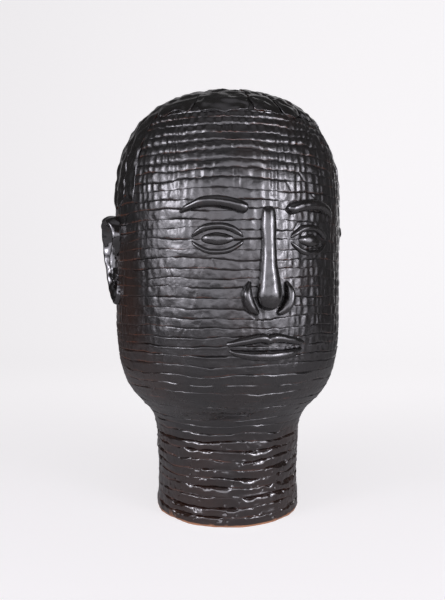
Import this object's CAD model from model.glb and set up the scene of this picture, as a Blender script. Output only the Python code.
"""Looks of a coil-built head vessel: its clay pieces, their glazes and its studio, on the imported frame."""

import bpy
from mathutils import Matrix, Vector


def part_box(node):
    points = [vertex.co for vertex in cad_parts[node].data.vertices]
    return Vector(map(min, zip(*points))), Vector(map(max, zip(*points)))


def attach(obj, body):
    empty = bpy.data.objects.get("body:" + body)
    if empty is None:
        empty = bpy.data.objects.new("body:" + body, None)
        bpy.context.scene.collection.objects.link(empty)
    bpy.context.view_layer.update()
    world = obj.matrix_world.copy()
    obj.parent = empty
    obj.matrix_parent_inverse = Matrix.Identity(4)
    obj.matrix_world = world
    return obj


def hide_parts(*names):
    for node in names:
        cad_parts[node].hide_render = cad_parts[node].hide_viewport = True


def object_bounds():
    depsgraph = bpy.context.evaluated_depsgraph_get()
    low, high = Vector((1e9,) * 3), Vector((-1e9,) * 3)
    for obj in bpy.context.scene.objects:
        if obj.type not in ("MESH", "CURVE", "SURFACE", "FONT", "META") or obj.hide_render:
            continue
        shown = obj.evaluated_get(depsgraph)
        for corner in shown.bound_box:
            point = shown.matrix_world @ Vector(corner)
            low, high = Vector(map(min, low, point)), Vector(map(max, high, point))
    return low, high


bl_info = {
    "name": "Coil-built head vessel",
    "version": (1, 0, 0),
    "blender": (4, 5, 0),
    "location": "3D View > Sidebar > Head vessel",
    "description": "Models the clay coils, hair straps, face and ears of a head vessel, and its studio",
    "category": "Object",
}

import math
import random

import bmesh
import bpy
import numpy as np
from mathutils import Vector, noise

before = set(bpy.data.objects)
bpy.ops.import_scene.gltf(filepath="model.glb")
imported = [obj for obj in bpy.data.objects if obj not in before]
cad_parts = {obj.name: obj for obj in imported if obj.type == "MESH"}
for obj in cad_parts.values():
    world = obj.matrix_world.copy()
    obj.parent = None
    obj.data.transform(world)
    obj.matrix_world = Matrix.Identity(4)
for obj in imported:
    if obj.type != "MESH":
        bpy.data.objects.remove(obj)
CAD_LOW, CAD_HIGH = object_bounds()

MM = 0.001


def numbered(word):
    """The frame's nodes that are that word and a number, in order."""
    names = [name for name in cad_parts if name.rsplit("_", 1)[0] == word]
    return sorted(names, key=lambda name: int(name.rsplit("_", 1)[1]))


NECK = ["foot_coil"] + numbered("neck_coil")
THROAT = numbered("throat_coil")
JAW = numbered("jaw_band")
CHEEKS = numbered("cheek_coil")
FOREHEAD = numbered("forehead_coil")
RINGS = NECK + THROAT + JAW + CHEEKS + FOREHEAD
HAIR = ["hair_fringe", "hair_left", "hair_right", "hair_back"]
FACE = ["left_brow", "right_brow", "left_eye", "right_eye", "nose_ridge", "left_nostril", "right_nostril",
        "upper_lip", "lower_lip"]
EARS = ["left_ear", "right_ear"]

NECK_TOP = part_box(NECK[-1])[1].z
JAW_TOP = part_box(JAW[-1])[1].z
BROW_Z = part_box("left_brow")[0].z
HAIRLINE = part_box(FOREHEAD[-1])[1].z
HEAD_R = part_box(CHEEKS[-1])[1].x

# Heights over which one way of working or glazing the clay starts or ends
NECK_TO = (NECK_TOP, NECK_TOP + 35 * MM)
SCRAPED_FROM = (NECK_TOP + 5 * MM, NECK_TOP + 38 * MM)
SCRAPED_TO = (JAW_TOP - 12 * MM, JAW_TOP + 16 * MM)
PINCHED_FROM = (JAW_TOP - 5 * MM, JAW_TOP + 30 * MM)
SMOOTH_CHEEK_UP_TO = (BROW_Z, BROW_Z + 45 * MM)
HIGH_FROM = (BROW_Z, BROW_Z + 60 * MM)
CROWN_FROM = (BROW_Z + 15 * MM, HAIRLINE - 15 * MM)
WANDER_FROM = (4 * MM, 30 * MM)
WANDER_TO = (HAIRLINE - 25 * MM, HAIRLINE)
BURRS_TO = (JAW_TOP + 25 * MM, JAW_TOP + 70 * MM)
GOUGES_FROM = (3 * MM, 9 * MM)
NICK_TO = (3 * MM, 15 * MM)
SWELL_FROM = (JAW_TOP - 60 * MM, JAW_TOP)
WASH_FROM = (JAW_TOP - 65 * MM, JAW_TOP - 15 * MM)
WASH_TO = (BROW_Z - 60 * MM, BROW_Z)
WASH_FORWARD_TO = (JAW_TOP, JAW_TOP + 70 * MM)
STRAPS_HANG_TO = (HAIRLINE - 60 * MM, HAIRLINE)

# Turns round the axis from the face: less than 0 is the head's right
SMOOTH_CHEEK_FROM = (math.radians(-82), math.radians(-66))
SMOOTH_CHEEK_TO = (math.radians(-14), 0)
# Turns from the face towards the head's right
WASH_TURN_FROM = (math.radians(56), math.radians(76))
WASH_TURN_TO = (math.radians(112), math.radians(140))
WASH_FORWARD = math.radians(12)
NICK_TURN = math.radians(66)

# Fine lengths of the marks: how far off a joint they lie, and how wide or deep they are
JOINT_BLEND = 1 * MM
BEVEL_BELOW = 3.2 * MM
BEVEL_ABOVE = 5 * MM
BURR_OFF = 1.7 * MM
BURR_W = 1.1 * MM
GOUGE_H = 5 * MM
GOUGE_SLOPE = 3.2 * MM
SLOT_W = 1 * MM
DENT_ROW = 12 * MM
SEAM_SLANT_MM = (4, 12)
SEAM_W = 1.5 * MM
SEAM_DEPTH = 0.8 * MM
NICK_W = 7 * MM
THIN_OFF = 1 * MM
THIN_W = 0.7 * MM
BARE_FADE = 0.8 * MM
STRAP_WAVE = 1 * MM
STRAP_DRIFT = 2.2 * MM
STRAP_END = 12 * MM
STRAP_END_REACH = 40 * MM

# What is uneven by hand: the size of its features, in millimetres along the girth and up the wall, and a
# seed. A finger's press goes by the number of its dent, so its features are 1 dent, written as 1000.
GRAINS = {
    "slow wander": (62, 27, 1),
    "quick wander": (22, 12, 2),
    "fine wander": (8, 9, 3),
    "crease": (36, 15, 4),
    "short crease": (11, 15, 23),
    "stray dents": (30, 55, 5),
    "finger's press": (1000, 1000, 6),
    "bevel": (38, 14, 32),
    "long gouge": (60, 11, 10),
    "short gouge": (14, 9, 27),
    "ledge": (40, 11, 28),
    "pit": (6, 4, 11),
    "broad lump": (26, 26, 7),
    "lump": (10, 10, 8),
    "small lump": (4.5, 4.5, 9),
    "scrape": (26, 4, 24),
    "long scrape": (60, 2.5, 25),
    "nick": (5, 5, 30),
    "nick's scratch": (1.6, 12, 29),
    "thin edge": (26, 15, 12),
    "wash cloud": (55, 55, 26),
    "bare edge": (12, 12, 13),
    "rolled coil": (17, 17, 14),
    "rolled coil, small": (7, 7, 15),
    "ear": (11, 11, 14),
    "ear, small": (6, 6, 15),
    "thin on a rolled coil": (9, 9, 16),
    "strap wave": (20, 20, 17),
    "strap nick": (9, 6, 18),
    "strap drift x": (11, 11, 19),
    "strap drift y": (11, 11, 20),
    "strap drift z": (11, 11, 21),
    "strap end": (17, 400, 33),
    "thin on a strap": (14, 14, 22),
}
SEED_STEP = np.array((17.3, 5.1, 9.7))

# Meshes: a ring's steps round, its rows by the lips and over the face, the edges of that face in the frame,
# how near two places count as one, and how far faces turn that count as flat, square or sharp
RING_STEPS = 760
LIP_STEPS = (0, 0.5 * MM, 1.1 * MM, 1.9 * MM, 3.0 * MM)
FACE_STEP = 1.7 * MM
FACE_EDGES = 8
SAME_CORNER = 0.2 * MM
RING_MERGE = 0.001 * MM
COPY_MERGE = 0.002 * MM
FLAT_TURN = math.radians(30)
SQUARE_TURN = math.radians(60)
SHARP_TURN = math.radians(50)

# Lamps: degrees round from the camera and up, width and height in metres, and the radiance of the middle
LAMPS = {
    "left softbox": (-51, 11, 1.7, 1.25, 3.2),
    "left core": (-50, 14, 0.45, 0.5, 12.8),
    "right softbox": (48, 4, 1.75, 1.45, 3.2),
    "right core": (46, 10, 0.45, 0.5, 15.0),
    "front fill": (-2, 6, 2.3, 1.1, 2.1),
    "overhead": (0, 72, 1.6, 1.4, 0.3),
}
LAMP_DISTANCE = 1.4
LAMP_AIM = Vector((0, 0, 0.4))

# The paper sweep, in metres: its edges before and behind the vessel, its bend, its top and half its width
PAPER_NEAR = -3.2
PAPER_FAR = 2.4
PAPER_BEND = 0.9
PAPER_BEND_STEPS = 16
PAPER_TOP = 3.2
PAPER_HALF = 4.5
SENSOR_MM = 36.0


def linear(hex_colour):
    """An sRGB hex colour as linear red, green, blue and alpha."""
    parts = [int(hex_colour[i:i + 2], 16) / 255 for i in (1, 3, 5)]
    return [c / 12.92 if c <= 0.04045 else ((c + 0.055) / 1.055) ** 2.4 for c in parts] + [1.0]


def colour(name, words, hex_colour):
    """A colour property."""
    return bpy.props.FloatVectorProperty(name=name, description=words, subtype="COLOR", size=4,
                                         min=0, max=1, default=linear(hex_colour))


def length(name, words, metres):
    """A length property, in metres."""
    return bpy.props.FloatProperty(name=name, description=words, default=metres, precision=4, unit="LENGTH")


def turn(name, words, degrees):
    """An angle property."""
    return bpy.props.FloatProperty(name=name, description=words, default=math.radians(degrees),
                                   subtype="ANGLE")


def amount(name, words, value):
    """A plain number."""
    return bpy.props.FloatProperty(name=name, description=words, default=value)


class ClaySizes(bpy.types.PropertyGroup):
    """Marks that hands and tools leave in the clay."""
    wander: length("Joint wander", "How far a joint line strays from level", 4.2 * MM)
    bow: length("Bow", "How far a coil's face bows out", 0.25 * MM)
    lip: length("Lip", "Rounding of a coil's edges", 0.40 * MM)
    crease: length("Joint crease", "Depth of the crease along a joint", 0.62 * MM)
    crease_w: length("Crease width", "Half width of that crease", 0.55 * MM)
    burr: length("Burr", "Height of the clay that a tool pushed up along a joint", 0.85 * MM)
    bevel: length("Bevel", "Depth to which the forehead coils slope at their joints", 1.7 * MM)
    dent: length("Dent depth", "Depth of a finger's dent", 0.88 * MM)
    dent_w: length("Finger dent", "Width of a finger's dent in a coil", 11.5 * MM)
    scallop: length("Scallop", "How far a dent drags the joint below it down", 0.7 * MM)
    lump: length("Lumps", "Height of the lumps that beating leaves", 0.55 * MM)
    swell: length("Swell", "How far the head stands out above the turned jaw", 0.8 * MM)
    gouge: length("Gouges", "Depth of the gouges along the neck's joints", 1.9 * MM)
    slot: length("Slots", "Depth of the open joints in those gouges", 2.6 * MM)
    ledge: length("Ledges", "How far the neck coils' upper edges stand out", 0.6 * MM)
    pit: length("Pits", "Depth of the pits in the neck", 1.2 * MM)
    scrape: length("Scrapes", "Depth of the scraper's level marks", 0.35 * MM)
    bare_h: length("Bare foot", "Height of the wiped edge at the foot", 2.1 * MM)
    sink: length("Sink", "How far a rolled coil or a strap is pressed into the wall", 1.2 * MM)


class GlazeColours(bpy.types.PropertyGroup):
    """Colours of the glaze and the clay under it."""
    black: colour("Black glaze", "Where the glaze is thick", "#0f0f10")
    brown: colour("Brown glaze", "Where the glaze is a little thin", "#191513")
    wash: colour("Brown wash", "Where the glaze ran thin, on the neck and the head's right", "#2c1b14")
    rust: colour("Rust", "Where the glaze breaks over an edge", "#603825")
    clay: colour("Bare clay", "The wiped edge of the foot", "#c1855c")


class StudioSizes(bpy.types.PropertyGroup):
    """Camera, lamps and paper."""
    azimuth: turn("Camera azimuth", "Round the vessel, from the front", -18.0)
    distance: length("Camera distance", "From the vessel's axis", 0.926)
    height: length("Camera height", "Above the floor", 0.338)
    pitch: turn("Camera pitch", "Below level", 2.2)
    aim: turn("Camera aim", "To the left of the vessel's axis", 0.47)
    lens: amount("Lens", "Focal length in millimetres, for 36 on the image's long side", 37.2)
    lamp: colour("Lamps", "Tint of the lamps", "#f7f4ff")
    paper: colour("Paper", "The floor and the backdrop", "#a4a2a1")
    glow: colour("Paper's light", "What the camera sees of the even light on the paper", "#fffdff")


def add(tree, kind, sockets=None, **settings):
    """Adds a node. A socket takes a value, or another node's output."""
    made = tree.nodes.new("ShaderNode" + kind)
    for name, value in settings.items():
        setattr(made, name, value)
    for key, value in (sockets or {}).items():
        if isinstance(value, bpy.types.NodeSocket):
            tree.links.new(value, made.inputs[key])
        else:
            made.inputs[key].default_value = value
    return made


def per_metre(millimetres):
    """A noise texture's scale, for a pattern of that size."""
    return 1 / (millimetres * MM)


def glaze_material(name, roughness, coat, peel_mm, peel_strength, scrape):
    """Stoneware glaze, fired black: satin with glassy glints, brown to rust where it runs thin over edges.

    coat is the weight of its glassy skin, peel_mm and peel_strength are the size and depth of its dimples,
    and scrape is the share of level tool marks in the bump.
    """
    colours = bpy.context.scene.glaze_colours
    material = bpy.data.materials.new(name)
    material.use_nodes = True
    tree = material.node_tree
    tree.nodes.clear()
    place = add(tree, "TexCoord").outputs["Object"]
    # Drifts of thicker and thinner glaze, three fingers wide
    drift = add(tree, "TexNoise", {"Vector": place, "Scale": per_metre(45), "Detail": 3.0})
    body = add(tree, "Mix", {0: drift.outputs[0], 6: list(colours.black), 7: list(colours.brown)},
               data_type="RGBA")
    # The sculpting stores how thin the glaze lies, and fine noise breaks that up
    thin = add(tree, "Attribute", attribute_name="thin")
    fleck = add(tree, "TexNoise", {"Vector": place, "Scale": per_metre(4), "Detail": 2.0})
    broken = add(tree, "Math", {0: thin.outputs["Fac"], 1: fleck.outputs[0]}, operation="MULTIPLY")
    rust = add(tree, "MapRange", {"Value": broken.outputs[0], "From Min": 0.12, "From Max": 0.5})
    wash = add(tree, "Attribute", attribute_name="wash")
    washed = add(tree, "Mix", {0: wash.outputs["Fac"], 6: body.outputs[2], 7: list(colours.wash)},
                 data_type="RGBA")
    glaze = add(tree, "Mix", {0: rust.outputs[0], 6: washed.outputs[2], 7: list(colours.rust)},
                data_type="RGBA")
    bare = add(tree, "Attribute", attribute_name="bare")
    surface = add(tree, "Mix", {0: bare.outputs["Fac"], 6: glaze.outputs[2], 7: list(colours.clay)},
                  data_type="RGBA")
    # Satin patches, and the bare clay, which is matt
    patch = add(tree, "TexNoise", {"Vector": place, "Scale": per_metre(14), "Detail": 2.0})
    satin = add(tree, "MapRange", {"Value": patch.outputs[0], "From Min": 0.3, "From Max": 0.7,
                                   "To Min": roughness - 0.05, "To Max": roughness + 0.06})
    rough = add(tree, "Mix", {0: bare.outputs["Fac"], 2: satin.outputs[0], 3: 0.8})
    # Dimples of the glaze, and level marks of the scraper
    peel = add(tree, "TexNoise", {"Vector": place, "Scale": per_metre(peel_mm), "Detail": 2.0})
    stretched = add(tree, "Mapping", {"Vector": place, "Scale": (0.06, 0.06, 1.0)})
    marks = add(tree, "TexNoise", {"Vector": stretched.outputs[0], "Scale": per_metre(2.5), "Detail": 3.0})
    relief = add(tree, "Mix", {0: scrape, 2: peel.outputs[0], 3: marks.outputs[0]})
    bump = add(tree, "Bump", {"Height": relief.outputs[0], "Strength": peel_strength, "Distance": 0.5 * MM})
    # A glaze that is rich in iron has an IOR of about 1.6; the body's is raised to match the object's sheen
    shader = add(tree, "BsdfPrincipled", {"Base Color": surface.outputs[2], "Roughness": rough.outputs[0],
                                          "IOR": 1.75, "Coat Weight": coat, "Coat IOR": 1.6,
                                          "Coat Roughness": 0.045, "Normal": bump.outputs[0]})
    out = add(tree, "OutputMaterial")
    tree.links.new(shader.outputs[0], out.inputs[0])
    return material


def grain(places, name):
    """Smooth noise, about -1 to 1, of that name in GRAINS."""
    along, up, seed = GRAINS[name]
    scaled = places / (np.array((along, along, up)) * MM) + seed * SEED_STEP
    return np.fromiter((noise.noise(p) for p in scaled.tolist()), float, len(scaled))


def spotty(values, middle, gain, most, least=0):
    """Values made a strength that comes and goes round a middle, cut off at least and most."""
    return np.clip(middle + gain * values, least, most)


def ramp(values, low, high):
    """0 below low, 1 above high, and a smooth rise between."""
    t = np.clip((values - low) / (high - low), 0, 1)
    return t * t * (3 - 2 * t)


def bell(values, width):
    """1 where the values are 0, falling off over that width."""
    return np.exp(-(values / width) ** 2)


def read_places(mesh):
    """The mesh's vertices as an array."""
    flat = np.zeros(len(mesh.vertices) * 3)
    mesh.vertices.foreach_get("co", flat)
    return flat.reshape(-1, 3)


def write_places(mesh, places):
    """Moves the mesh's vertices."""
    mesh.vertices.foreach_set("co", places.ravel())
    mesh.update()


def read_values(mesh, name):
    """A vertex attribute as an array."""
    values = np.zeros(len(mesh.vertices))
    mesh.attributes[name].data.foreach_get("value", values)
    return values


def write_values(mesh, name, values):
    """Stores a vertex attribute, from 0 to 1."""
    attribute = mesh.attributes.get(name) or mesh.attributes.new(name, "FLOAT", "POINT")
    attribute.data.foreach_set("value", np.clip(values, 0, 1))


def finish_piece(node, mesh, material):
    """Makes an object of the mesh that stands for a node of the frame."""
    mesh.shade_smooth()
    piece = bpy.data.objects.new(node + "_clay", mesh)
    bpy.context.scene.collection.objects.link(piece)
    piece.data.materials.append(material)
    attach(piece, "root")
    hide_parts(node)


def section(node):
    """A ring's section in the frame: its outer face from the lower joint up, then the rest, downwards."""
    corners = []
    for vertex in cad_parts[node].data.vertices:
        corner = (math.hypot(vertex.co.x, vertex.co.y), vertex.co.z)
        if all(math.dist(corner, known) > SAME_CORNER for known in corners):
            corners.append(corner)
    corners = np.array(corners)
    spokes = corners - corners.mean(axis=0)
    loop = corners[np.argsort(np.arctan2(spokes[:, 1], spokes[:, 0]))]
    edges = np.linalg.norm(np.roll(loop, -1, axis=0) - loop, axis=1)
    # The outer face is the run of short edges
    longest = [max(np.roll(edges, -first)[:FACE_EDGES]) for first in range(len(loop))]
    loop = np.roll(loop, -int(np.argmin(longest)), axis=0)
    return loop[:FACE_EDGES + 1], loop[FACE_EDGES + 1:]


def rounded(shares):
    """The frame's round coil face: its depth at shares of the way up, as a share of the groove's."""
    return 1 - np.sqrt(np.clip(1 - (2 * shares - 1) ** 2, 0, 1))


UPRIGHT = section(CHEEKS[-2])[0]
GROOVE = UPRIGHT[:, 0].max() - UPRIGHT[:, 0].min()


def wall_line(node):
    """The even wall behind a ring's face: shares of the way up it, its places, and its normals outwards."""
    outer, rest = section(node)
    shares = np.linspace(0, 1, len(outer))
    normals = np.tile(outer.mean(axis=0) - rest.mean(axis=0), (len(outer), 1))
    for _ in range(3):
        normals /= np.linalg.norm(normals, axis=1)[:, None]
        wall = outer + GROOVE * rounded(shares)[:, None] * normals
        along = np.gradient(wall, axis=0)
        normals = np.c_[along[:, 1], -along[:, 0]]
    normals /= np.linalg.norm(normals, axis=1)[:, None]
    return shares, wall, normals


def coils_in(node):
    """How many coils of clay a ring stands for."""
    return 2 if node in JAW else 1


def ring_mesh(node):
    """A ring of clay in the frame's place: a grid, wrapped round the section and the axis, and closed."""
    shares, wall, _ = wall_line(node)
    _, rest = section(node)
    coils = coils_in(node)
    tall = np.linalg.norm(np.diff(wall, axis=0), axis=1).sum() / coils
    lips = np.array(LIP_STEPS) / tall
    middle = np.linspace(lips[-1], 1 - lips[-1], round((1 - 2 * lips[-1]) * tall / FACE_STEP) + 1)
    one = np.r_[lips, middle[1:-1], (1 - lips)[:0:-1]]
    rows = np.r_[np.concatenate([one + coil for coil in range(coils)]) / coils, 1]
    places = [(np.interp(t, shares, wall[:, 0]), np.interp(t, shares, wall[:, 1]), t, 1) for t in rows]
    along = (wall[-1] - wall[0]) / np.sum((wall[-1] - wall[0]) ** 2)
    places += [(*corner, np.clip((corner - wall[0]) @ along, 0, 1), 0) for corner in rest]
    shape = bmesh.new()
    across = shape.verts.layers.float.new("across")
    skin = shape.verts.layers.float.new("skin")
    bmesh.ops.create_grid(shape, x_segments=RING_STEPS, y_segments=len(places), size=1)
    seam = []
    for vertex in shape.verts:
        column = round((vertex.co.x + 1) / 2 * RING_STEPS)
        row = round((vertex.co.y + 1) / 2 * len(places))
        radius, z, vertex[across], vertex[skin] = places[row % len(places)]
        angle = 2 * math.pi * (column % RING_STEPS) / RING_STEPS
        vertex.co = (-radius * math.sin(angle), radius * math.cos(angle), z)
        if column in (0, RING_STEPS) or row in (0, len(places)):
            seam.append(vertex)
    bmesh.ops.remove_doubles(shape, verts=seam, dist=RING_MERGE)
    bmesh.ops.recalc_face_normals(shape, faces=shape.faces)
    mesh = bpy.data.meshes.new(node + "_clay")
    shape.to_mesh(mesh)
    shape.free()
    return mesh


def wander(places):
    """How far the joint lines stray up or down at each place: level at the foot and at the hairline."""
    free = ramp(places[:, 2], *WANDER_FROM) * (1 - ramp(places[:, 2], *WANDER_TO))
    strays = grain(places, "slow wander") + 0.34 * grain(places, "quick wander")
    strays += 0.1 * grain(places, "fine wander")
    return bpy.context.scene.clay_sizes.wander * free * strays


def pinched(angle, z):
    """Share of finger dents: none on the scraped jaw, few on the smoothed right cheek, most elsewhere."""
    smooth_cheek = ramp(angle, *SMOOTH_CHEEK_FROM) * (1 - ramp(angle, *SMOOTH_CHEEK_TO))
    below_brow = 1 - ramp(z, *SMOOTH_CHEEK_UP_TO)
    return ramp(z, *PINCHED_FROM) * (1 - 0.62 * smooth_cheek * below_brow)


def finger_dents(ring, number):
    """A row of finger dents: how deep each place lies in its dent, and how hard that finger pressed."""
    count = round(2 * math.pi * HEAD_R / bpy.context.scene.clay_sizes.dent_w)
    level = np.full(len(ring.z), number * DENT_ROW)
    row = np.c_[ring.girth * np.sin(ring.angle), ring.girth * np.cos(ring.angle), level]
    shift = random.Random(number).uniform(-0.12, 0.12)
    cells = count * ring.angle / (2 * math.pi) + shift + 0.8 * grain(row, "stray dents")
    cell = np.floor(cells)
    off = 2 * (cells - cell) - 1
    scoop = 0.5 * (1 - off ** 2) + 0.25 * (1 + np.cos(math.pi * off))
    finger = np.c_[cell % count * 1.7, np.full(len(ring.z), number * 2.3), cell * 0]
    press = spotty(grain(finger, "finger's press"), middle=0.75, gain=1.1, least=0.1, most=1.7)
    return scoop, press


class Ring:
    """A ring while it is worked over: its mesh's places, and how they lie to zones, joints and dents."""

    def __init__(self, node, mesh):
        self.number = RINGS.index(node)
        coils = coils_in(node)
        shares, wall, normals = wall_line(node)
        self.girth = wall[:, 0].max()
        self.tall = np.linalg.norm(np.diff(wall, axis=0), axis=1).sum()

        self.places = read_places(mesh)
        self.share = read_values(mesh, "across")
        self.skin = read_values(mesh, "skin")
        self.radius = np.hypot(self.places[:, 0], self.places[:, 1])
        self.z = self.places[:, 2]
        self.angle = np.arctan2(self.places[:, 0], -self.places[:, 1])
        self.outwards = np.interp(self.share, shares, normals[:, 0])
        self.upwards = np.interp(self.share, shares, normals[:, 1])

        # The neck is gouged, the jaw is scraped smooth, and the coils above are pressed by fingers
        self.neck = 1 - ramp(self.z, *NECK_TO)
        self.scraped = ramp(self.z, *SCRAPED_FROM) * (1 - ramp(self.z, *SCRAPED_TO))
        self.pressed = (1 - self.neck) * (1 - self.scraped)
        self.high = ramp(self.z, *HIGH_FROM)
        self.crown = ramp(self.z, *CROWN_FROM)

        nearest = np.round(self.share * coils) / coils
        above = (self.share - nearest) * self.tall
        self.to_joint = np.abs(above)
        self.above_joint = np.clip(0.5 + above / JOINT_BLEND, 0, 1)
        self.at_joint = np.c_[np.sin(self.angle) * self.girth, -np.cos(self.angle) * self.girth,
                              np.interp(nearest, shares, wall[:, 1])]
        self.off_middle = np.abs(2 * np.mod(self.share * coils, 1) - 1)
        self.fingers = pinched(self.angle, self.z) + 0.1 * self.neck
        self.scoop, self.press = finger_dents(self, self.number)


def joint_relief(ring):
    """Flat faces with rounded lips, creases along the joints that come and go, and burrs low on the head."""
    sizes = bpy.context.scene.clay_sizes
    fitful = grain(ring.at_joint, "crease") + 0.5 * grain(ring.at_joint, "short crease")
    strength = (ring.pressed * spotty(fitful, middle=0.5, gain=1.4, most=1.7)
                + ring.scraped * spotty(fitful, middle=0.25, gain=1.8, most=1.4)
                + ring.neck * spotty(fitful, middle=0, gain=2.0, most=1.5))
    pinch = ring.high * 1.6 * ring.scoop * ring.press
    lip = sizes.lip * (spotty(strength, middle=0.15, gain=0.7, most=1.2) + pinch)
    face = sizes.bow * (1 + 0.6 * ring.high) * ring.off_middle ** 2
    face += lip * ring.off_middle ** (8 - 3 * ring.high)
    wide = sizes.crease_w * (1 + 0.7 * ring.neck)
    crease = sizes.crease * (1 + 1.3 * ring.neck) * strength * bell(ring.to_joint, wide)
    burr = bell(ring.to_joint - BURR_OFF, BURR_W) * (1 - ring.above_joint) * (1 - ramp(ring.z, *BURRS_TO))
    return sizes.burr * np.clip(strength, 0, 1.2) * burr - face * (0.1 + 0.9 * ring.pressed) - crease


def forehead_relief(ring):
    """High on the forehead the coils slope off to their joints, so that their lower edges face the front."""
    below = np.clip(1 - ring.share * ring.tall / BEVEL_BELOW, 0, 1)
    above = np.clip(1 - (1 - ring.share) * ring.tall / BEVEL_ABOVE, 0, 1) ** 2
    patchy = spotty(grain(ring.at_joint, "bevel"), middle=0.6, gain=1.3, least=0.1, most=1.2)
    depth = bpy.context.scene.clay_sizes.bevel * (0.75 + 0.35 * ring.scoop * ring.press)
    return -depth * ring.crown * patchy * (below + above)


def neck_tears(ring):
    """Shares of a gouge and of the open joint in it: some of them are long, and some hardly there."""
    ragged = grain(ring.at_joint, "long gouge") + 0.6 * grain(ring.places, "short gouge")
    torn = ring.neck * ramp(ragged, -0.08, 0.5)
    reach = GOUGE_H * torn - ring.to_joint * (1 + 1.2 * ring.above_joint)
    tear = ramp(reach, 0, GOUGE_SLOPE) * (0.4 + 0.6 * torn)
    return tear, torn * bell(ring.to_joint, SLOT_W)


def neck_relief(ring, tear, slot):
    """Gouges, open joints, pits and ledges of the neck."""
    sizes = bpy.context.scene.clay_sizes
    pits = ring.neck * ramp(grain(ring.places, "pit"), 0.4, 0.65)
    cut = sizes.gouge * tear + sizes.slot * slot + sizes.pit * pits
    ledge = ring.neck * (2 * ring.share - 1) * (0.15 + grain(ring.at_joint, "ledge"))
    return sizes.ledge * ledge - cut * ramp(ring.z, *GOUGES_FROM)


def beaten_relief(ring):
    """Lumps from beating, the head's swell above the jaw, and level marks of the scraper."""
    sizes = bpy.context.scene.clay_sizes
    lumps = grain(ring.places, "broad lump") + 0.95 * grain(ring.places, "lump")
    lumps += 0.42 * (1 - 0.7 * ring.neck) * grain(ring.places, "small lump")
    marks = grain(ring.places, "scrape") + 0.5 * grain(ring.places, "long scrape")
    return (sizes.lump * (1 - 0.5 * ring.scraped + 0.6 * ring.neck) * lumps
            + sizes.swell * ramp(ring.z, *SWELL_FROM)
            + sizes.scrape * (0.8 * ring.scraped + ring.neck) * marks)


def coil_ends(ring):
    """Slanting ends of the coils, two to a ring: 1 along them, and 0 elsewhere."""
    chance = random.Random(ring.number)
    seams = np.zeros(len(ring.z))
    for _ in range(2):
        seam = chance.uniform(-math.pi, math.pi)
        slant = chance.choice((-1, 1)) * chance.uniform(*SEAM_SLANT_MM) * MM
        seams += bell((ring.angle - seam) * ring.girth - slant * (ring.share - 0.5), SEAM_W)
    return seams


def foot_nick(ring):
    """A knock at the foot, on the head's right: 1 in its middle, and 0 elsewhere."""
    return bell((ring.angle + NICK_TURN) * ring.girth, NICK_W) * (1 - ramp(ring.z, *NICK_TO))


def glaze_ring(ring, mesh, places, tear, seams, nick):
    """Stores where the glaze lies thin: on edges, in washes, and not at all along the foot."""
    # Thin on the upper lips of the joints, on the crests between dents, and over torn edges
    forward = WASH_FORWARD * (1 - ramp(ring.z, *WASH_FORWARD_TO))
    side = ramp(forward - ring.angle, *WASH_TURN_FROM) * (1 - ramp(-ring.angle, *WASH_TURN_TO))
    uneven = spotty(grain(ring.at_joint, "thin edge"), middle=0.35 + 0.4 * side, gain=1.1, most=1)
    edge = bell(ring.to_joint - THIN_OFF, THIN_W) * uneven * (0.3 + 0.7 * ring.above_joint)
    crest = (1 - ring.scoop) ** 6 * ring.fingers * 0.15
    torn_edge = np.clip(4 * tear * (1 - tear), 0, 1) * ring.above_joint * 0.8
    thin = edge * (0.7 + 0.35 * ring.neck + 0.45 * side) + crest + torn_edge + 0.2 * seams
    write_values(mesh, "thin", ring.skin * thin)

    # Brown in clouds over the neck and on the head's right, and faintly elsewhere
    cloud = grain(places, "wash cloud")
    patch = side * ramp(ring.z, *WASH_FROM) * (1 - ramp(ring.z, *WASH_TO))
    wash = patch * (0.75 + 0.6 * cloud) + ring.neck * (0.65 + 0.7 * cloud) + 0.2 * ramp(cloud, 0.15, 0.5)
    write_values(mesh, "wash", wash)

    ragged = bpy.context.scene.clay_sizes.bare_h * (1 + 0.5 * grain(places, "bare edge"))
    scratch = nick * ramp(grain(places, "nick's scratch"), 0.05, 0.3)
    write_values(mesh, "bare", 1 - ramp(places[:, 2], ragged, ragged + BARE_FADE) + 0.7 * scratch)


def sculpt_ring(node, mesh):
    """Works a ring over as hands and tools did, and glazes it."""
    sizes = bpy.context.scene.clay_sizes
    ring = Ring(node, mesh)
    tear, slot = neck_tears(ring)
    seams = coil_ends(ring)
    nick = foot_nick(ring)
    moved = joint_relief(ring) + forehead_relief(ring) + neck_relief(ring, tear, slot) + beaten_relief(ring)
    dents = ring.fingers * (1 + 0.35 * ring.high) * ring.press * ring.scoop
    moved -= sizes.dent * dents * (1 - ring.off_middle ** 4)
    moved -= SEAM_DEPTH * seams * (0.2 + 0.8 * ring.pressed)
    moved -= sizes.pit * nick * (0.8 + 0.8 * grain(ring.places, "nick"))

    # A dent drags the joint below it down
    scoop_above, press_above = finger_dents(ring, ring.number + 1)
    drag = (1 - ring.share) * ring.press * (ring.scoop - 0.6)
    drag += ring.share * press_above * (scoop_above - 0.6)
    drift = wander(ring.places) - sizes.scallop * (1 - 0.6 * ring.crown) * ring.fingers * drag

    push = ring.skin * moved
    radius = ring.radius + push * ring.outwards - drift * ring.upwards
    z = np.maximum(ring.z + push * ring.upwards + drift * ring.outwards, CAD_LOW.z)
    places = np.c_[np.sin(ring.angle) * radius, -np.cos(ring.angle) * radius, z]
    write_places(mesh, places)
    glaze_ring(ring, mesh, places, tear, seams, nick)


def clay_rings(nodes, material):
    """Rings for these nodes."""
    for node in nodes:
        mesh = ring_mesh(node)
        sculpt_ring(node, mesh)
        finish_piece(node, mesh, material)


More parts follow.
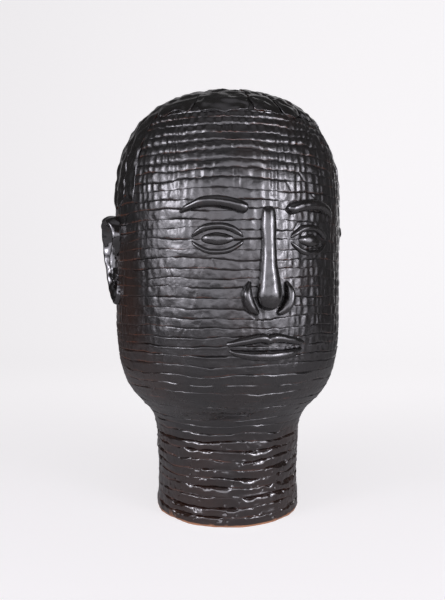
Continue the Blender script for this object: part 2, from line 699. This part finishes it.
def smooth_copy(node, levels, sharp):
    """A node's mesh, merged, in quads where they fit, and subdivided; sharp edges keep that much crease."""
    shape = bmesh.new()
    shape.from_mesh(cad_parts[node].data)
    bmesh.ops.remove_doubles(shape, verts=shape.verts, dist=COPY_MERGE)
    bmesh.ops.join_triangles(shape, faces=shape.faces, angle_face_threshold=FLAT_TURN,
                             angle_shape_threshold=SQUARE_TURN)
    crease = shape.edges.layers.float.new("crease_edge")
    for edge in shape.edges:
        if edge.is_manifold and edge.calc_face_angle() > SHARP_TURN:
            edge[crease] = sharp
    mesh = bpy.data.meshes.new(node + "_rough")
    shape.to_mesh(mesh)
    shape.free()
    stand = bpy.data.objects.new(node + "_rough", mesh)
    bpy.context.scene.collection.objects.link(stand)
    smoother = stand.modifiers.new("smooth", "SUBSURF")
    smoother.levels = levels
    smoother.render_levels = levels
    result = bpy.data.meshes.new_from_object(stand.evaluated_get(bpy.context.evaluated_depsgraph_get()))
    result.name = node + "_clay"
    bpy.data.objects.remove(stand)
    bpy.data.meshes.remove(mesh)
    return result


def soften(mesh, times):
    """Rounds a mesh off, as a thumb does."""
    shape = bmesh.new()
    shape.from_mesh(mesh)
    for _ in range(times):
        bmesh.ops.smooth_vert(shape, verts=shape.verts, factor=0.5, use_axis_x=True, use_axis_y=True,
                              use_axis_z=True)
    shape.to_mesh(mesh)
    shape.free()


def normals_of(mesh):
    """The vertices' normals as an array."""
    flat = np.zeros(len(mesh.vertices) * 3, np.float32)
    mesh.vertex_normals.foreach_get("vector", flat)
    return flat.reshape(-1, 3).astype(float)


def roll_coil(node, mesh):
    """Presses a rolled coil into the wall, and leaves the unevenness of rolling on it."""
    places = read_places(mesh)
    if node in EARS:
        uneven = 1.5 * grain(places, "ear") + 0.5 * grain(places, "ear, small")
    else:
        uneven = 0.55 * grain(places, "rolled coil") + 0.3 * grain(places, "rolled coil, small")
    moved = places + normals_of(mesh) * (uneven * MM)[:, None]
    outwards = places * (1, 1, 0)
    outwards /= np.linalg.norm(outwards, axis=1)[:, None]
    write_places(mesh, moved - outwards * bpy.context.scene.clay_sizes.sink)
    write_values(mesh, "thin", 0.05 + 0.35 * grain(places, "thin on a rolled coil"))


def lay_strap(mesh):
    """Leaves the waves, nicks, uneven ends and thin edges of torn slabs on a group of hair straps."""
    places = read_places(mesh)
    normals = normals_of(mesh)
    z = places[:, 2]
    outwards = places - np.array((0, 0, BROW_Z))
    outwards /= np.linalg.norm(outwards, axis=1)[:, None]
    hanging = 1 - ramp(z, *STRAPS_HANG_TO)
    waves = 0.7 * grain(places, "strap wave") + (0.3 + 0.35 * hanging) * grain(places, "strap nick")
    drift = np.stack([grain(places, "strap drift " + axis) for axis in "xyz"], axis=1)
    moved = places + normals * (waves * STRAP_WAVE)[:, None] + drift * STRAP_DRIFT

    # Each place slides up or down the wall, the more the nearer it is to the straps' ends
    ends = 1 - ramp(z, z.min(), z.min() + STRAP_END_REACH)
    slide = STRAP_END * ends * grain(places, "strap end")
    upwards = np.array((0, 0, 1)) - outwards * outwards[:, 2:]
    moved += upwards * slide[:, None]
    write_places(mesh, moved - outwards * bpy.context.scene.clay_sizes.sink)
    edge = 1 - np.clip(np.sum(normals * outwards, axis=1), 0, 1)
    write_values(mesh, "thin", ramp(edge, 0.2, 0.8) * (0.25 + 0.6 * grain(places, "thin on a strap")))


class JUG_OT_coils(bpy.types.Operator):
    """Models the foot, neck, throat, jaw, cheek and forehead coils"""
    bl_idname = "jug.coils"
    bl_label = "Clay coils"

    def execute(self, context):
        """Makes the rings, from the foot up."""
        # Glassy where it ran down and pooled on the neck
        neck = glaze_material("Black stoneware glaze, gouged neck", roughness=0.18, coat=1.0,
                              peel_mm=3.0, peel_strength=0.35, scrape=0.5)
        # Satin with a soft sheen over the dents
        pinched_coils = glaze_material("Black stoneware glaze, pinched coils", roughness=0.35, coat=0.5,
                                       peel_mm=3.2, peel_strength=1.0, scrape=0.25)
        # Between the two, with fine level streaks
        jaw = glaze_material("Black stoneware glaze, scraped jaw", roughness=0.28, coat=1.0,
                             peel_mm=2.6, peel_strength=0.4, scrape=0.6)
        clay_rings(NECK[:1], neck)
        clay_rings(NECK[1:] + THROAT, neck)
        clay_rings(JAW, jaw)
        clay_rings(CHEEKS + FOREHEAD, pinched_coils)
        return {"FINISHED"}


class JUG_OT_hair(bpy.types.Operator):
    """Models the crown cap, the crown disc and the hair straps"""
    bl_idname = "jug.hair"
    bl_label = "Crown and hair"

    def execute(self, context):
        """Makes the straps, and then what closes the crown under and over them."""
        # Dark, with sharp glints on torn edges
        straps = glaze_material("Black stoneware glaze, hair straps", roughness=0.25, coat=0.85,
                                peel_mm=3.0, peel_strength=0.7, scrape=0.5)
        for node in HAIR:
            mesh = smooth_copy(node, levels=2, sharp=0.55)
            lay_strap(mesh)
            finish_piece(node, mesh, straps)
        for node, slot in (("crown_cap", "black_glaze"), ("crown_disc", "hair_glaze")):
            mesh = smooth_copy(node, levels=1, sharp=0.6)
            write_values(mesh, "thin", np.zeros(len(mesh.vertices)))
            finish_piece(node, mesh, straps)
        return {"FINISHED"}


class JUG_OT_face(bpy.types.Operator):
    """Models the brows, eyes, nose and lips, and the ears"""
    bl_idname = "jug.face"
    bl_label = "Face and ears"

    def execute(self, context):
        """Makes the rolled coils of the face, and the ears."""
        # Smooth from rolling, with a long soft highlight
        rolled = glaze_material("Black stoneware glaze, rolled coils", roughness=0.27, coat=0.8,
                                peel_mm=3.0, peel_strength=0.35, scrape=0.1)
        # Thick and glassy, black between small bright glints
        thick = glaze_material("Black stoneware glaze, thick on the ears", roughness=0.13, coat=1.0,
                               peel_mm=3.0, peel_strength=0.35, scrape=0.1)
        for node in FACE + EARS:
            mesh = smooth_copy(node, levels=2, sharp=0.1)
            soften(mesh, times=8)
            roll_coil(node, mesh)
            finish_piece(node, mesh, thick if node in EARS else rolled)
        return {"FINISHED"}


def direction(azimuth, elevation=0.0):
    """The way from the vessel to a place at that azimuth, from the front, and elevation."""
    level = math.cos(elevation)
    return Vector((math.sin(azimuth) * level, -math.cos(azimuth) * level, math.sin(elevation)))


def softbox(name, azimuth, elevation, width, height, radiance):
    """A soft light that faces the vessel's middle and fades towards its edges; radiance is its middle's."""
    light = bpy.data.lights.new(name, "AREA")
    light.shape = "RECTANGLE"
    light.size = width
    light.size_y = height
    light.energy = radiance * math.pi * width * height
    light.use_nodes = True
    tree = light.node_tree
    tree.nodes.clear()
    across = add(tree, "NewGeometry").outputs["Parametric"]
    off = add(tree, "VectorMath", {0: across, 1: (2, 2, 0), 2: (-1, -1, 0)}, operation="MULTIPLY_ADD")
    apart = add(tree, "VectorMath", {0: off.outputs[0], 1: off.outputs[0]}, operation="DOT_PRODUCT")
    inside = add(tree, "Math", {0: 1.0, 1: apart.outputs["Value"]}, operation="SUBTRACT", use_clamp=True)
    fade = add(tree, "Math", {0: inside.outputs[0], 1: 1.2}, operation="POWER")
    tint = list(bpy.context.scene.studio_sizes.lamp)
    glow = add(tree, "Emission", {"Color": tint, "Strength": fade.outputs[0]})
    out = add(tree, "OutputLight")
    tree.links.new(glow.outputs[0], out.inputs[0])
    lamp = bpy.data.objects.new(name, light)
    way = direction(azimuth, elevation)
    lamp.location = LAMP_AIM + way * LAMP_DISTANCE
    lamp.rotation_euler = way.to_track_quat("Z", "Y").to_euler()
    lamp.visible_camera = False
    bpy.context.scene.collection.objects.link(lamp)


def rightwards(azimuth):
    """The camera's way to the right, level."""
    return Vector((math.cos(azimuth), math.sin(azimuth), 0))


def paper_material():
    """Matt white studio paper, which keeps the vessel's shadow; the camera sees it evenly lit."""
    studio = bpy.context.scene.studio_sizes
    material = bpy.data.materials.new("Matt white studio paper")
    material.use_nodes = True
    tree = material.node_tree
    tree.nodes.clear()
    place = add(tree, "TexCoord").outputs["Object"]
    # In reflections the paper is a strip about as wide as the camera sees, with a dark room beside it. It is
    # dim on the floor and high up, and brighter towards the stronger lamp on the right.
    aside = add(tree, "VectorMath", {0: place, 1: rightwards(studio.azimuth)}, operation="DOT_PRODUCT")
    reach = add(tree, "Math", {0: aside.outputs["Value"]}, operation="ABSOLUTE")
    strip = add(tree, "MapRange", {"Value": reach.outputs[0], "From Min": 0.9, "From Max": 2.1,
                                   "To Min": 1.0, "To Max": 0.03}, interpolation_type="SMOOTHSTEP")
    height = add(tree, "SeparateXYZ", {0: place})
    upright = add(tree, "MapRange", {"Value": height.outputs["Z"], "From Min": 0.0, "From Max": 0.35,
                                     "To Min": 0.05, "To Max": 0.82})
    upper = add(tree, "MapRange", {"Value": height.outputs["Z"], "From Min": 0.8, "From Max": 1.8,
                                   "To Min": 1.0, "To Max": 0.3})
    level = add(tree, "Math", {0: upright.outputs[0], 1: upper.outputs[0]}, operation="MULTIPLY")
    tilt = add(tree, "MapRange", {"Value": aside.outputs["Value"], "From Min": -1.0, "From Max": 1.0,
                                  "To Min": 0.5, "To Max": 1.5})
    tilted = add(tree, "Math", {0: level.outputs[0], 1: tilt.outputs[0]}, operation="MULTIPLY")
    mirrored = add(tree, "Math", {0: strip.outputs[0], 1: tilted.outputs[0]}, operation="MULTIPLY")
    paths = add(tree, "LightPath")
    glossy = add(tree, "Math", {0: paths.outputs["Is Glossy Ray"], 1: mirrored.outputs[0]},
                 operation="MULTIPLY")
    seen = add(tree, "Math", {0: paths.outputs["Is Camera Ray"], 1: glossy.outputs[0]}, operation="MAXIMUM")
    shown = add(tree, "Math", {0: seen.outputs[0], 1: paths.outputs["Is Transmission Ray"]},
                operation="MAXIMUM")
    # The lamps light the paper less towards the backdrop, so the even light makes up for that
    back = -direction(studio.azimuth)
    depth = add(tree, "VectorMath", {0: place, 1: back}, operation="DOT_PRODUCT")
    lift = add(tree, "MapRange", {"Value": depth.outputs["Value"], "From Min": -0.3, "From Max": 1.0,
                                  "To Min": 0.67, "To Max": 0.825}, interpolation_type="SMOOTHSTEP")
    lean = add(tree, "Math", {0: aside.outputs["Value"], 1: 0.035, 2: lift.outputs[0]},
               operation="MULTIPLY_ADD")
    glow = add(tree, "Math", {0: shown.outputs[0], 1: lean.outputs[0]}, operation="MULTIPLY")
    shader = add(tree, "BsdfPrincipled", {"Base Color": list(studio.paper), "Roughness": 0.9,
                                          "Emission Color": list(studio.glow),
                                          "Emission Strength": glow.outputs[0]})
    out = add(tree, "OutputMaterial")
    tree.links.new(shader.outputs[0], out.inputs[0])
    return material


def paper_sweep(azimuth):
    """Floor and backdrop in one sheet that curves up behind the vessel, square to the camera."""
    back = -direction(azimuth)
    side = rightwards(azimuth)
    outline = [(PAPER_NEAR, 0.0)]
    for step in range(PAPER_BEND_STEPS + 1):
        turned = math.pi / 2 * step / PAPER_BEND_STEPS
        outline.append((PAPER_FAR - PAPER_BEND + PAPER_BEND * math.sin(turned),
                        PAPER_BEND - PAPER_BEND * math.cos(turned)))
    outline.append((PAPER_FAR, PAPER_TOP))
    shape = bmesh.new()
    line = [shape.verts.new(back * along - side * PAPER_HALF + Vector((0, 0, z))) for along, z in outline]
    edges = [shape.edges.new(pair) for pair in zip(line, line[1:])]
    grown = bmesh.ops.extrude_edge_only(shape, edges=edges)
    moved = [v for v in grown["geom"] if isinstance(v, bmesh.types.BMVert)]
    bmesh.ops.translate(shape, verts=moved, vec=side * 2 * PAPER_HALF)
    bmesh.ops.recalc_face_normals(shape, faces=shape.faces)
    mesh = bpy.data.meshes.new("paper")
    shape.to_mesh(mesh)
    shape.free()
    mesh.shade_smooth()
    return mesh


def studio_room():
    """A world that is a dim room to the vessel, and pale to the camera."""
    world = bpy.data.worlds.new("studio room")
    world.use_nodes = True
    tree = world.node_tree
    tree.nodes.clear()
    paths = add(tree, "LightPath")
    room = add(tree, "Background", {"Color": linear("#ffffff"), "Strength": 0.045})
    pale = add(tree, "Background", {"Color": linear("#f5f3f2"), "Strength": 1.0})
    mixed = add(tree, "MixShader", {0: paths.outputs["Is Camera Ray"], 1: room.outputs[0],
                                    2: pale.outputs[0]})
    out = add(tree, "OutputWorld")
    tree.links.new(mixed.outputs[0], out.inputs[0])
    return world


class JUG_OT_studio(bpy.types.Operator):
    """Sets up the camera, the paper floor and backdrop, the lights and the world"""
    bl_idname = "jug.studio"
    bl_label = "Studio"

    def execute(self, context):
        """Makes the stage round the vessel."""
        studio = context.scene.studio_sizes
        camera = bpy.data.objects.new("camera", bpy.data.cameras.new("camera"))
        camera.data.sensor_width = SENSOR_MM
        camera.data.lens = studio.lens
        camera.location = direction(studio.azimuth) * studio.distance + Vector((0, 0, studio.height))
        look = -direction(studio.azimuth + studio.aim, studio.pitch)
        camera.rotation_euler = look.to_track_quat("-Z", "Y").to_euler()
        context.scene.collection.objects.link(camera)
        context.scene.camera = camera
        context.scene.view_settings.view_transform = "Standard"

        paper = bpy.data.objects.new("paper", paper_sweep(studio.azimuth))
        paper.data.materials.append(paper_material())
        context.scene.collection.objects.link(paper)

        for name, (turned, raised, width, height, radiance) in LAMPS.items():
            azimuth = studio.azimuth + math.radians(turned)
            softbox(name, azimuth, math.radians(raised), width, height, radiance)
        context.scene.world = studio_room()
        return {"FINISHED"}


class JUG_PT_panel(bpy.types.Panel):
    """Lists the pieces in the 3D view's sidebar"""
    bl_idname = "JUG_PT_panel"
    bl_label = "Head vessel"
    bl_space_type = "VIEW_3D"
    bl_region_type = "UI"
    bl_category = "Head vessel"

    def draw(self, context):
        """Shows the operators, and then the sizes and colours."""
        for operator in OPERATORS:
            self.layout.operator(operator.bl_idname)
        for group in GROUPS:
            for name in GROUPS[group].__annotations__:
                self.layout.prop(getattr(context.scene, group), name)


OPERATORS = (JUG_OT_studio, JUG_OT_coils, JUG_OT_hair, JUG_OT_face)
GROUPS = {"clay_sizes": ClaySizes, "glaze_colours": GlazeColours, "studio_sizes": StudioSizes}


def register():
    """Adds the property groups, the operators and the panel."""
    for group in GROUPS.values():
        bpy.utils.register_class(group)
    for name, group in GROUPS.items():
        setattr(bpy.types.Scene, name, bpy.props.PointerProperty(type=group))
    for operator in OPERATORS:
        bpy.utils.register_class(operator)
    bpy.utils.register_class(JUG_PT_panel)


def unregister():
    """Takes them away again."""
    bpy.utils.unregister_class(JUG_PT_panel)
    for operator in OPERATORS:
        bpy.utils.unregister_class(operator)
    for name in GROUPS:
        delattr(bpy.types.Scene, name)
    for group in GROUPS.values():
        bpy.utils.unregister_class(group)


def main():
    """Makes the stage and the vessel."""
    register()
    bpy.ops.jug.studio()
    bpy.ops.jug.coils()
    bpy.ops.jug.hair()
    bpy.ops.jug.face()


if __name__ == "__main__":
    main()
